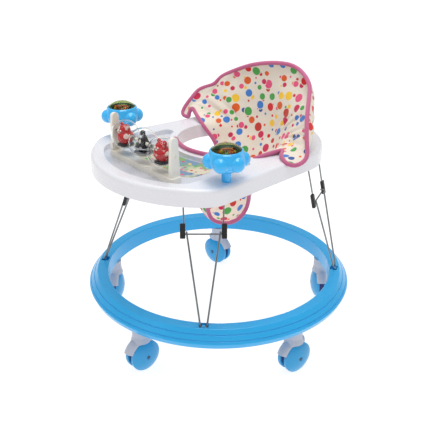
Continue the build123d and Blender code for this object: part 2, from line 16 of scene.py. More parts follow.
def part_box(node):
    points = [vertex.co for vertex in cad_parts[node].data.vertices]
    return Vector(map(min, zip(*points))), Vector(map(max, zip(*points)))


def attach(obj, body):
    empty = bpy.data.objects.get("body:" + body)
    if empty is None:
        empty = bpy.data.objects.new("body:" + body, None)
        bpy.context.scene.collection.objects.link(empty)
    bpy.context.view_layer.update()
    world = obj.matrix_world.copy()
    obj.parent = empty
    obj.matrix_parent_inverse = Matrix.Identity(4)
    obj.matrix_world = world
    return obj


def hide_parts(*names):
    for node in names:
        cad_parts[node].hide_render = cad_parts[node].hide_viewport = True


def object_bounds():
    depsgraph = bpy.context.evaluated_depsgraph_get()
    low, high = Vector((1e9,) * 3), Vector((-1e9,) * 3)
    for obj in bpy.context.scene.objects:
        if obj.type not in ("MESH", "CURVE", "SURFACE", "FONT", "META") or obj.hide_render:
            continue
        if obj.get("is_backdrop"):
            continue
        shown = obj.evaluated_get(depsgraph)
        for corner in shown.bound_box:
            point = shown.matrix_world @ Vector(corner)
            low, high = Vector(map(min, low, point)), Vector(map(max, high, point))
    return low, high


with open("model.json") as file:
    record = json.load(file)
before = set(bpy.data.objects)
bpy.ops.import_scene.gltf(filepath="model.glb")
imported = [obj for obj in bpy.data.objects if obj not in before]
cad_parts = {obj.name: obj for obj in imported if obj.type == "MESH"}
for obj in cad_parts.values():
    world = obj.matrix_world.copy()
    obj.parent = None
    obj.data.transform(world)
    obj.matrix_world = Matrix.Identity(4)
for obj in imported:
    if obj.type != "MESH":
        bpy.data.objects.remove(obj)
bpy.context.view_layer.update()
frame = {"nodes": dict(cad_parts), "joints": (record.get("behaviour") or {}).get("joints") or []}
nodes = frame["nodes"]
MM = 0.001

# %% [markdown]
# ## Camera, floor and light
# The walker is seen from its front right and from above. A moderately long lens keeps the base ring's ellipse true.
# Large, soft lights and a pale floor give even studio light, and glossy plastic still gets clear highlights because
# the lamps have edges that it can mirror.

# %% Camera
VIEW_AZIMUTH = math.radians(50.5)
VIEW_ELEVATION = math.radians(25.21)
VIEW_DISTANCE = 1731 * MM
LOOK_AT = Vector((-1.6, -2.0, 256.8)) * MM
LENS = 63.0


def from_target(azimuth, elevation, distance):
    """A point seen from LOOK_AT: azimuth 0 is in front of the walker, elevation is above the floor."""
    level = math.cos(elevation)
    way = Vector((math.sin(azimuth) * level, -math.cos(azimuth) * level, math.sin(elevation)))
    return LOOK_AT + way * distance


def aim(thing, target):
    """Turns a camera or a lamp to look at a point."""
    thing.rotation_euler = (target - thing.location).to_track_quat("-Z", "Y").to_euler()


camera = bpy.data.objects.new("camera", bpy.data.cameras.new("camera"))
bpy.context.scene.collection.objects.link(camera)
camera.location = from_target(VIEW_AZIMUTH, VIEW_ELEVATION, VIEW_DISTANCE)
aim(camera, LOOK_AT)
camera.data.lens = LENS
bpy.context.scene.camera = camera
print("camera at", [round(v, 3) for v in camera.location])

# %% Lights and sky
bpy.context.scene.view_settings.view_transform = "Standard"


def soft_light(name, azimuth, elevation, distance, size, power):
    """A round lamp that looks at the walker. Angles are in degrees, the distance and size in metres."""
    lamp = bpy.data.lights.new(name, "AREA")
    lamp.shape = "DISK"
    lamp.size = size
    lamp.energy = power
    made = bpy.data.objects.new(name, lamp)
    bpy.context.scene.collection.objects.link(made)
    made.location = from_target(math.radians(azimuth), math.radians(elevation), distance)
    aim(made, LOOK_AT)


soft_light("key", azimuth=60, elevation=74, distance=2.2, size=1.2, power=14.5)
soft_light("fill", azimuth=-20, elevation=45, distance=2.4, size=1.8, power=3)
soft_light("top", azimuth=230, elevation=72, distance=2.2, size=1.8, power=17)

# The sky lights the walker at half strength, and is plain white where a low view looks past the floor's edge.
SKY_LIGHT, SKY_SEEN = 0.5, 1.0
sky = bpy.data.worlds.new("studio")
sky.use_nodes = True
sky_light = sky.node_tree.nodes["Background"]
sky_light.inputs["Color"].default_value = (1.0, 1.0, 1.0, 1)
seen_directly = sky.node_tree.nodes.new("ShaderNodeLightPath").outputs["Is Camera Ray"]
sky_strength = sky.node_tree.nodes.new("ShaderNodeMapRange")
sky_strength.inputs["To Min"].default_value = SKY_LIGHT
sky_strength.inputs["To Max"].default_value = SKY_SEEN
sky.node_tree.links.new(seen_directly, sky_strength.inputs["Value"])
sky.node_tree.links.new(sky_strength.outputs["Result"], sky_light.inputs["Strength"])
bpy.context.scene.world = sky


# %% [markdown]
# ## Shader groups
# Most finishes here share a few effects: the slight unevenness of moulded plastic, pale rubbed edges, and a woven
# surface. Each effect is one node group with named inputs and outputs, made once and used in each material with its
# own values. The shaders themselves stay in the materials, so that the baked export can read them.

# %% Helpers for groups
def new_group(name, inputs, outputs):
    """A shader group with its named sockets, and its input and output nodes."""
    tree = bpy.data.node_groups.new(name, "ShaderNodeTree")
    for label, kind, value in inputs:
        socket = tree.interface.new_socket(label, in_out="INPUT", socket_type=kind)
        if value is not None:
            socket.default_value = value
    for label, kind in outputs:
        tree.interface.new_socket(label, in_out="OUTPUT", socket_type=kind)
    return tree, tree.nodes.new("NodeGroupInput"), tree.nodes.new("NodeGroupOutput")


def wire(tree, *pairs):
    """Links each pair of an output and an input socket."""
    for start, end in pairs:
        tree.links.new(start, end)


def math_node(tree, operation, first, second=None, third=None, clamp=False):
    """A Math node; each operand is a socket or a number."""
    made = tree.nodes.new("ShaderNodeMath")
    made.operation = operation
    made.use_clamp = clamp
    for slot, operand in enumerate((first, second, third)):
        if isinstance(operand, bpy.types.NodeSocket):
            tree.links.new(operand, made.inputs[slot])
        elif operand is not None:
            made.inputs[slot].default_value = operand
    return made.outputs[0]


def blend_colour(tree, factor, first, second):
    """A colour mix; each operand is a socket, a number or a colour."""
    made = tree.nodes.new("ShaderNodeMix")
    made.data_type = "RGBA"
    for slot, operand in (("Factor_Float", factor), ("A_Color", first), ("B_Color", second)):
        socket = next(s for s in made.inputs if s.identifier == slot)
        if isinstance(operand, bpy.types.NodeSocket):
            tree.links.new(operand, socket)
        elif isinstance(operand, (int, float)):
            socket.default_value = operand
        else:
            socket.default_value = (*operand, 1)
    return next(s for s in made.outputs if s.identifier == "Result_Color")


def noise_node(tree, vector, scale, detail=3.0):
    """Noise over a vector; a scale of 100 repeats about every 10 mm."""
    made = tree.nodes.new("ShaderNodeTexNoise")
    made.inputs["Detail"].default_value = detail
    tree.links.new(vector, made.inputs["Vector"])
    if isinstance(scale, bpy.types.NodeSocket):
        tree.links.new(scale, made.inputs["Scale"])
    else:
        made.inputs["Scale"].default_value = scale
    return made.outputs["Fac"]


def srgb(red, green, blue):
    """A screen colour, 0 to 255, as the linear numbers that shaders use."""
    return tuple(((v / 255 + 0.055) / 1.055) ** 2.4 if v > 10 else v / 255 / 12.92 for v in (red, green, blue))


# %% Moulded plastic: uneven gloss, faint flow marks and rubbed edges
plastic_group, plastic_in, plastic_out = new_group(
    "moulded plastic",
    [("Vector", "NodeSocketVector", None), ("Colour", "NodeSocketColor", None), ("Roughness", "NodeSocketFloat", 0.3),
     ("Mottle", "NodeSocketFloat", 0.05), ("Grain", "NodeSocketFloat", 400.0), ("Edge", "NodeSocketFloat", 0.15),
     ("Edge radius", "NodeSocketFloat", 0.0012)],
    [("Colour", "NodeSocketColor"), ("Roughness", "NodeSocketFloat"), ("Height", "NodeSocketFloat")])
tree = plastic_group
flow = noise_node(tree, plastic_in.outputs["Vector"], 9.0)
fine = noise_node(tree, plastic_in.outputs["Vector"], plastic_in.outputs["Grain"], 2.0)
rounded = tree.nodes.new("ShaderNodeBevel")
rounded.samples = 4
wire(tree, (plastic_in.outputs["Edge radius"], rounded.inputs["Radius"]))
facing = tree.nodes.new("ShaderNodeNewGeometry")
turned = tree.nodes.new("ShaderNodeVectorMath")
turned.operation = "DOT_PRODUCT"
wire(tree, (rounded.outputs["Normal"], turned.inputs[0]), (facing.outputs["Normal"], turned.inputs[1]))
edge = math_node(tree, "MULTIPLY", math_node(tree, "SUBTRACT", 1.0, turned.outputs["Value"]), 6.0, clamp=True)
worn = math_node(tree, "MULTIPLY", edge, math_node(tree, "MULTIPLY", plastic_in.outputs["Edge"], fine))
shade = math_node(tree, "MULTIPLY", flow, plastic_in.outputs["Mottle"], clamp=True)
darker = blend_colour(tree, shade, plastic_in.outputs["Colour"], (0.0, 0.0, 0.0))
lighter = blend_colour(tree, worn, darker, (1.0, 1.0, 1.0))
rough = math_node(tree, "MULTIPLY_ADD", math_node(tree, "SUBTRACT", fine, 0.5), 0.12,
                  plastic_in.outputs["Roughness"])
wire(tree, (lighter, plastic_out.inputs["Colour"]), (rough, plastic_out.inputs["Roughness"]),
     (fine, plastic_out.inputs["Height"]))

# %% Woven cloth: crossing threads on the piece's own UV map, in metres
weave_group, weave_in, weave_out = new_group(
    "weave", [("UV", "NodeSocketVector", None), ("Thread", "NodeSocketFloat", 1100.0)],
    [("Height", "NodeSocketFloat"), ("Shade", "NodeSocketFloat")])
tree = weave_group
split = tree.nodes.new("ShaderNodeSeparateXYZ")
wire(tree, (weave_in.outputs["UV"], split.inputs["Vector"]))
threads = []
for axis in ("X", "Y"):
    along = math_node(tree, "MULTIPLY", split.outputs[axis], weave_in.outputs["Thread"])
    threads.append(math_node(tree, "ABSOLUTE", math_node(tree, "SINE", math_node(tree, "MULTIPLY", along, math.pi))))
crossing = math_node(tree, "MULTIPLY", threads[0], threads[1])
slub = noise_node(tree, weave_in.outputs["UV"], 260.0)
height = math_node(tree, "ADD", crossing, math_node(tree, "MULTIPLY", slub, 0.6))
wire(tree, (height, weave_out.inputs["Height"]), (slub, weave_out.inputs["Shade"]))

# %% Scattered dots: one colour and one size for each cell of a loose grid
PALETTE = [srgb(66, 128, 205), srgb(226, 98, 40), srgb(222, 38, 42), srgb(206, 48, 88), srgb(250, 204, 60),
           srgb(78, 166, 80), srgb(232, 88, 130), srgb(58, 92, 160), srgb(200, 60, 50)]
RIM_SHARPNESS = 2500.0  # a dot's rim fades over 0.4 mm
dots_group, dots_in, dots_out = new_group(
    "scattered dots",
    [("UV", "NodeSocketVector", None), ("Cell", "NodeSocketFloat", 0.03), ("Smallest", "NodeSocketFloat", 0.004),
     ("Largest", "NodeSocketFloat", 0.01), ("Shift", "NodeSocketVector", None)],
    [("Mask", "NodeSocketFloat"), ("Colour", "NodeSocketColor")])
tree = dots_group
moved = tree.nodes.new("ShaderNodeVectorMath")
moved.operation = "ADD"
wire(tree, (dots_in.outputs["UV"], moved.inputs[0]), (dots_in.outputs["Shift"], moved.inputs[1]))
scale = math_node(tree, "DIVIDE", 1.0, dots_in.outputs["Cell"])
cells = tree.nodes.new("ShaderNodeTexVoronoi")
cells.voronoi_dimensions = "2D"
cells.inputs["Randomness"].default_value = 0.72
wire(tree, (moved.outputs["Vector"], cells.inputs["Vector"]), (scale, cells.inputs["Scale"]))
chance = tree.nodes.new("ShaderNodeSeparateColor")
wire(tree, (cells.outputs["Color"], chance.inputs["Color"]))
reach = math_node(tree, "SUBTRACT", dots_in.outputs["Largest"], dots_in.outputs["Smallest"])
radius = math_node(tree, "ADD", math_node(tree, "MULTIPLY", chance.outputs["Red"], reach), dots_in.outputs["Smallest"])
distance = math_node(tree, "MULTIPLY", cells.outputs["Distance"], dots_in.outputs["Cell"])
inside = math_node(tree, "MULTIPLY", math_node(tree, "SUBTRACT", radius, distance), RIM_SHARPNESS, clamp=True)
ramp = tree.nodes.new("ShaderNodeValToRGB")
ramp.color_ramp.interpolation = "CONSTANT"
for index, colour in enumerate(PALETTE):
    place = index / len(PALETTE)
    stop = ramp.color_ramp.elements[0] if index == 0 else ramp.color_ramp.elements.new(place)
    stop.position = place
    stop.color = (*colour, 1)
ramp.color_ramp.elements.remove(ramp.color_ramp.elements[-1])
wire(tree, (chance.outputs["Green"], ramp.inputs["Fac"]), (inside, dots_out.inputs["Mask"]),
     (ramp.outputs["Color"], dots_out.inputs["Colour"]))
print("groups:", [g.name for g in bpy.data.node_groups])


# %% [markdown]
# ## Finishes
# Every hard finish is the plastic group with its own colour and gloss. The pattern reads Object coordinates, which
# are metres in the walker's frame, so a grain of 400 is a mark every few millimetres on every piece alike.

# %% Plastic finishes
def start_material(name):
    """A new material, its node tree and its shader."""
    made = bpy.data.materials.new(name)
    made.use_nodes = True
    return made, made.node_tree, made.node_tree.nodes["Principled BSDF"]


def place_group(tree, group, **values):
    """Puts a group in a material; each value is a socket, a number or a colour."""
    made = tree.nodes.new("ShaderNodeGroup")
    made.node_tree = group
    for label, value in values.items():
        socket = made.inputs[label.replace("_", " ")]
        if isinstance(value, bpy.types.NodeSocket):
            tree.links.new(value, socket)
        else:
            socket.default_value = (*value, 1) if socket.type == "RGBA" else value
    return made


def object_vector(tree):
    return tree.nodes.new("ShaderNodeTexCoord").outputs["Object"]


def bump(tree, shader, height, strength, depth):
    """Relief too fine to model, such as grain and threads."""
    made = tree.nodes.new("ShaderNodeBump")
    made.inputs["Strength"].default_value = strength
    made.inputs["Distance"].default_value = depth
    wire(tree, (height, made.inputs["Height"]), (made.outputs["Normal"], shader.inputs["Normal"]))


def plastic(name, colour, roughness=0.3, mottle=0.06, edge=0.15, coat=0.0):
    """A moulded plastic of one colour."""
    made, tree, shader = start_material(name)
    look = place_group(tree, plastic_group, Vector=object_vector(tree), Colour=colour, Roughness=roughness,
                       Mottle=mottle, Grain=400.0, Edge=edge, Edge_radius=1.2 * MM)
    wire(tree, (look.outputs["Colour"], shader.inputs["Base Color"]),
         (look.outputs["Roughness"], shader.inputs["Roughness"]))
    shader.inputs["Coat Weight"].default_value = coat
    shader.inputs["Coat Roughness"].default_value = 0.08
    bump(tree, shader, look.outputs["Height"], 0.12, 0.05 * MM)
    return made


sky_blue = plastic("sky blue plastic", srgb(34, 180, 246), 0.3, 0.1, coat=0.25)
wheel_blue = plastic("wheel blue plastic", srgb(36, 168, 230), 0.34, 0.14, coat=0.15)
flower_blue = plastic("flower blue plastic", srgb(46, 188, 255), 0.16, 0.06, coat=0.7)
tray_white = plastic("tray white plastic", srgb(236, 236, 241), 0.26, 0.03, edge=0.3, coat=0.3)
# The caster hoods are white plastic; their pale bluish grey here is painted shade.
hood_white_shaded = plastic("hood white plastic painted grey shade", srgb(194, 199, 214), 0.36, 0.08, edge=0.25, coat=0.1)
# The caster cores sit in the gap between each caster's twin wheels; their navy is painted shade for that gap.
dark_blue_gap_shade = plastic("dark blue gap shade plastic", srgb(14, 40, 118), 0.45, 0.2, edge=0.1)
ivory = plastic("ivory plastic", srgb(248, 243, 230), 0.24, 0.06, edge=0.3, coat=0.35)
black = plastic("black plastic", srgb(26, 26, 28), 0.45, 0.2, edge=0.12)


def paint_sunk_shade(material, low, high, tone):
    """Painted shade: a darker tone on the faces that look up between two heights, in mm, such as a sunk surface,
    standing in for the shade that falls in it.
    """
    tree = material.node_tree
    look = next(n for n in tree.nodes if n.type == "GROUP")
    height, facing = tree.nodes.new("ShaderNodeSeparateXYZ"), tree.nodes.new("ShaderNodeSeparateXYZ")
    wire(tree, (object_vector(tree), height.inputs[0]),
         (tree.nodes.new("ShaderNodeNewGeometry").outputs["Normal"], facing.inputs[0]))
    inside = math_node(tree, "MULTIPLY", math_node(tree, "GREATER_THAN", height.outputs["Z"], low * MM),
                       math_node(tree, "LESS_THAN", height.outputs["Z"], high * MM))
    mask = math_node(tree, "MULTIPLY", inside, math_node(tree, "GREATER_THAN", facing.outputs["Z"], 0.9))
    wire(tree, (blend_colour(tree, mask, look.inputs["Colour"].default_value[:3], tone), look.inputs["Colour"]))


# The sunk play surface gets a painted shade, darker than the rim round it.
PLAY_SURFACE = 427.4
paint_sunk_shade(tray_white, PLAY_SURFACE - 1, PLAY_SURFACE + 1, srgb(214, 216, 224))
print("plastics:", len([m for m in bpy.data.materials if "plastic" in m.name]))

# %% [markdown]
# The wires are bright drawn steel. Drawing leaves fine streaks, so a stretched noise moves the roughness a little,
# and a low noise makes the grey patchy, as on bare wire that has been handled.

# %% Steel
steel, tree, shader = start_material("drawn steel")
place = object_vector(tree)
streaks = tree.nodes.new("ShaderNodeMapping")
streaks.inputs["Scale"].default_value = (900, 900, 60)
wire(tree, (place, streaks.inputs["Vector"]))
streak = noise_node(tree, streaks.outputs["Vector"], 1.0, 4.0)
patch = noise_node(tree, place, 35.0)
tone = blend_colour(tree, patch, srgb(104, 106, 108), srgb(158, 160, 160))
wire(tree, (tone, shader.inputs["Base Color"]),
     (math_node(tree, "MULTIPLY_ADD", streak, 0.25, 0.2), shader.inputs["Roughness"]))
shader.inputs["Metallic"].default_value = 1.0
bump(tree, shader, streak, 0.15, 0.05 * MM)


# %% [markdown]
# The rattle balls and the flowers' domes are clear plastic. Glass with a slightly low index keeps what is inside
# readable, because two thin walls at full index would hide a small toy behind bright rings.

# %% Clear plastic
def clear_plastic(name, tint, roughness, index):
    """Glass-like plastic of one tint, with faint scuffs."""
    made, tree, shader = start_material(name)
    scuff = noise_node(tree, object_vector(tree), 120.0)
    level = math_node(tree, "MULTIPLY_ADD", scuff, 0.06, roughness)
    tone = blend_colour(tree, scuff, tint, tuple(0.96 * v for v in tint))
    wire(tree, (tone, shader.inputs["Base Color"]), (level, shader.inputs["Roughness"]))
    shader.inputs["Transmission Weight"].default_value = 1.0
    shader.inputs["IOR"].default_value = index
    bump(tree, shader, scuff, 0.03, 0.05 * MM)
    return made


ball_clear = clear_plastic("clear ball plastic", (0.985, 0.99, 0.985), 0.0, 1.14)
dome_clear = clear_plastic("olive clear plastic", (0.66, 0.74, 0.40), 0.02, 1.2)

# %% [markdown]
# The seat is cream cotton printed with dots of many sizes in bright colours, and bound with pink tape. Two sets of
# cells make the print: large dots on a wide grid, and small ones on a tight grid that stay clear of the large ones.
# The cloth's UV map is in metres of cloth, so the dots stay round and the right size wherever the cloth bends.

# %% Cloth finishes
dotted, tree, shader = start_material("dotted cotton")
shader.inputs["Roughness"].default_value = 0.85
shader.inputs["Sheen Weight"].default_value = 0.25
shader.inputs["Sheen Roughness"].default_value = 0.5
shader.inputs["Specular IOR Level"].default_value = 0.25
layout = tree.nodes.new("ShaderNodeUVMap")
layout.uv_map = "UVMap"
uv = layout.outputs["UV"]
weave = place_group(tree, weave_group, UV=uv, Thread=1100.0)
large_grid = dict(UV=uv, Cell=0.030, Shift=(0.013, 0.027, 0))
small_grid = dict(UV=uv, Cell=0.023, Shift=(0.251, 0.117, 0))
LEAST, MOST, MARGIN = 6.0 * MM, 10.6 * MM, 1.6 * MM
large = place_group(tree, dots_group, Smallest=LEAST, Largest=MOST, **large_grid)
around = place_group(tree, dots_group, Smallest=LEAST + MARGIN, Largest=MOST + MARGIN, **large_grid)
small = place_group(tree, dots_group, Smallest=2.4 * MM, Largest=5.8 * MM, **small_grid)
free = math_node(tree, "SUBTRACT", 1.0, around.outputs["Mask"])
small_mask = math_node(tree, "MULTIPLY", small.outputs["Mask"], free)
ground = blend_colour(tree, weave.outputs["Shade"], srgb(244, 236, 222), srgb(226, 216, 198))
with_small = blend_colour(tree, small_mask, ground, small.outputs["Colour"])
printed = blend_colour(tree, large.outputs["Mask"], with_small, large.outputs["Colour"])
wire(tree, (printed, shader.inputs["Base Color"]))
bump(tree, shader, weave.outputs["Height"], 0.35, 0.25 * MM)

binding_pink, tree, shader = start_material("pink binding tape")
place = object_vector(tree)
ribs = noise_node(tree, place, 900.0, 2.0)
fade = noise_node(tree, place, 22.0)
tone = blend_colour(tree, fade, srgb(206, 98, 142), srgb(172, 66, 112))
tone = blend_colour(tree, math_node(tree, "MULTIPLY", ribs, 0.25), tone, srgb(228, 150, 186))
wire(tree, (tone, shader.inputs["Base Color"]))
shader.inputs["Roughness"].default_value = 0.7
shader.inputs["Sheen Weight"].default_value = 0.3
bump(tree, shader, ribs, 0.5, 0.3 * MM)
print("cloth:", dotted.name, "and", binding_pink.name)


# %% [markdown]
# Small printed and spotted finishes: the picture card under the toys, the rattle figures with pale spots, and the
# printed discs in the flowers. All are plain shapes and colours of the kind that such toys have.

# %% Spotted and printed finishes
def spotted(name, ground, spot, cell, size, shift):
    """Gloss plastic with round spots of one colour, spread through space so that they wrap any shape."""
    made, tree, shader = start_material(name)
    place = object_vector(tree)
    moved = tree.nodes.new("ShaderNodeMapping")
    moved.inputs["Location"].default_value = shift
    cells = tree.nodes.new("ShaderNodeTexVoronoi")
    cells.inputs["Scale"].default_value = 1 / cell
    cells.inputs["Randomness"].default_value = 0.55
    wire(tree, (place, moved.inputs["Vector"]), (moved.outputs["Vector"], cells.inputs["Vector"]))
    rim_sharpness = 12.0
    mask = math_node(tree, "MULTIPLY", math_node(tree, "SUBTRACT", size / cell, cells.outputs["Distance"]),
                     rim_sharpness, clamp=True)
    tone = blend_colour(tree, mask, ground, spot)
    look = place_group(tree, plastic_group, Vector=place, Colour=tone, Roughness=0.22, Edge=0.0)
    wire(tree, (look.outputs["Colour"], shader.inputs["Base Color"]),
         (look.outputs["Roughness"], shader.inputs["Roughness"]))
    shader.inputs["Coat Weight"].default_value = 0.5
    bump(tree, shader, mask, 0.3, 0.2 * MM)
    return made


figure_red = spotted("figure red", srgb(196, 16, 28), srgb(246, 214, 206), 17 * MM, 6.4 * MM,
                     shift=(0.003, 0.004, 0.002))
figure_black = spotted("figure black", srgb(24, 24, 26), srgb(232, 232, 236), 19 * MM, 4.6 * MM,
                       shift=(0.001, 0.0, 0.004))


def printed_card(name, colours, cell, size):
    """Flat print: a pale ground, bands of colour that wander, and round blobs on top."""
    made, tree, shader = start_material(name)
    place = object_vector(tree)
    look = place_group(tree, dots_group, UV=place, Cell=cell, Smallest=size * 0.5, Largest=size)
    hills = math_node(tree, "SUBTRACT", noise_node(tree, place, 16.0), 0.5)
    ponds = math_node(tree, "SUBTRACT", noise_node(tree, place, 27.0), 0.56)
    hills = math_node(tree, "MULTIPLY", hills, 14.0, clamp=True)
    ponds = math_node(tree, "MULTIPLY", ponds, 16.0, clamp=True)
    tone = blend_colour(tree, hills, colours[0], colours[1])
    tone = blend_colour(tree, ponds, tone, colours[2])
    tone = blend_colour(tree, look.outputs["Mask"], tone, look.outputs["Colour"])
    finish = place_group(tree, plastic_group, Vector=place, Colour=tone, Roughness=0.35, Edge=0.0)
    wire(tree, (finish.outputs["Colour"], shader.inputs["Base Color"]),
         (finish.outputs["Roughness"], shader.inputs["Roughness"]))
    shader.inputs["Coat Weight"].default_value = 0.4
    bump(tree, shader, look.outputs["Mask"], 0.2, 0.1 * MM)
    return made


card_print = printed_card(
    "tray picture print", [srgb(222, 214, 186), srgb(124, 172, 104), srgb(112, 148, 178)], 0.017, 4.4 * MM)
disc_print = printed_card(
    "flower disc print", [srgb(64, 104, 48), srgb(92, 74, 36), srgb(176, 84, 40)], 0.012, 3.6 * MM)
bead_colours = [plastic("bead " + word, tone, 0.25, edge=0.0) for word, tone in (
    ("orange", srgb(236, 92, 42)), ("green", srgb(70, 160, 82)), ("brown", srgb(120, 70, 40)),
    ("yellow", srgb(246, 204, 84)))]


# %% Dress the CAD nodes
def dress(prefixes, material):
    """Puts a material on every CAD node whose name starts with one of the words."""
    for name, piece in nodes.items():
        if name.startswith(prefixes):
            piece.data.materials.clear()
            piece.data.materials.append(material)


dress(("base_ring", "leg_anchors"), sky_blue)
dress("wheel_", wheel_blue)
dress("caster_hood", hood_white_shaded)
dress("caster_core", dark_blue_gap_shade)
dress(("caster_pins", "leg_lower_wire", "leg_upper_wire", "toy_bar_rod"), steel)
dress(("tray_shell", "tray_brackets"), tray_white)
dress("tray_picture", card_print)
dress("toy_bar_frame", ivory)
dress("ball_shell", ball_clear)
dress("flower_dome", dome_clear)
dress(("flower_body", "flower_stems"), flower_blue)
dress("flower_disc", disc_print)
dress(("leg_sleeves", "ball_figure", "seat_"), black)

# %% [markdown]
# ## Making pieces
# Every new piece is one mesh object at the origin with its place in its vertices. It rides on the body that carries
# it, so it follows the joints, and it takes its finish.

# %% Piece helpers
def finish_piece(name, body, material, mesh, stands_for=()):
    """A mesh as a piece of the walker: its body, its finish and the CAD nodes that it stands for."""
    made = bpy.data.objects.new(name, mesh)
    bpy.context.scene.collection.objects.link(made)
    mesh.materials.clear()
    mesh.materials.append(material)
    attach(made, body)
    if stands_for:
        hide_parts(*stands_for)
    return made


def mesh_from(bm, name):
    """Turns a bmesh into a smooth mesh."""
    for face in bm.faces:
        face.smooth = True
    mesh = bpy.data.meshes.new(name)
    bm.to_mesh(mesh)
    bm.free()
    return mesh


def tube(name, points, radius, closed=False):
    """A smooth round tube along points in mm, turned into a mesh."""
    curve = bpy.data.curves.new(name, "CURVE")
    curve.dimensions = "3D"
    curve.bevel_depth = radius * MM
    curve.bevel_resolution = 5
    curve.use_fill_caps = True
    line = curve.splines.new("POLY")
    line.points.add(len(points) - 1)
    for spot, point in zip(line.points, points):
        spot.co = (*(Vector(point) * MM), 1)
    line.use_cyclic_u = closed
    holder = bpy.data.objects.new(name, curve)
    bpy.context.scene.collection.objects.link(holder)
    mesh = bpy.data.meshes.new_from_object(holder.evaluated_get(bpy.context.evaluated_depsgraph_get()))
    bpy.data.objects.remove(holder)
    bpy.data.curves.remove(curve)
    for face in mesh.polygons:
        face.use_smooth = True
    return mesh


def ball(centre, radius, stretch=(1, 1, 1), detail=3):
    """A rounded blob in mm, as bmesh geometry in metres."""
    bm = bmesh.new()
    bmesh.ops.create_icosphere(bm, subdivisions=detail, radius=radius * MM)
    bmesh.ops.scale(bm, vec=stretch, verts=bm.verts)
    bmesh.ops.translate(bm, vec=Vector(centre) * MM, verts=bm.verts)
    return bm


def disc(centre, radius, height, axis, round_off=0.3):
    """A short cylinder whose axis is the given direction, with softened rims."""
    bm = bmesh.new()
    bmesh.ops.create_cone(bm, cap_ends=True, segments=40, radius1=radius * MM, radius2=radius * MM, depth=height * MM)
    rims = [e for e in bm.edges if len(e.link_faces) == 2 and any(len(f.verts) > 4 for f in e.link_faces)]
    bmesh.ops.bevel(bm, geom=rims, offset=round_off * MM, segments=3, profile=0.5, affect="EDGES")
    turn = Vector(axis).to_track_quat("Z", "Y").to_matrix()
    bmesh.ops.rotate(bm, verts=bm.verts, cent=(0, 0, 0), matrix=turn)
    bmesh.ops.translate(bm, vec=Vector(centre) * MM, verts=bm.verts)
    return bm


def joined(name, parts):
    """Several bmeshes as one mesh."""
    whole = bmesh.new()
    for part in parts:
        copy = bpy.data.meshes.new("part")
        part.to_mesh(copy)
        part.free()
        whole.from_mesh(copy)
        bpy.data.meshes.remove(copy)
    return mesh_from(whole, name)


# %% [markdown]
# ## The seat
# The seat is one panel of padded cotton. It starts at the top edge of the back, comes down over the lip of the well,
# hangs inside it as a pouch, passes between the two leg holes and climbs to the front of the well. Its shape is a
# grid: each row below is a line across the seat, from the far side to the near side, as points in mm.

# %% Rows of the seat
def smooth_line(points, knots=None):
    """A curve through the points, as a function of 0 to 1. The knots say where along it each point lies."""
    points = [Vector(p) for p in points]
    count = len(points)
    knots = knots or [i / (count - 1) for i in range(count)]

    def slope(index):
        low, high = max(index - 1, 0), min(index + 1, count - 1)
        return (points[high] - points[low]) / (knots[high] - knots[low])

    def at(place):
        place = min(max(place, 0.0), 1.0)
        index = max(i for i in range(count - 1) if knots[i] <= place or i == 0)
        width = knots[index + 1] - knots[index]
        f = (place - knots[index]) / width
        start, end = points[index], points[index + 1]
        return ((2 * f ** 3 - 3 * f ** 2 + 1) * start + (f ** 3 - 2 * f ** 2 + f) * width * slope(index)
                + (3 * f ** 2 - 2 * f ** 3) * end + (f ** 3 - f ** 2) * width * slope(index + 1))
    return at


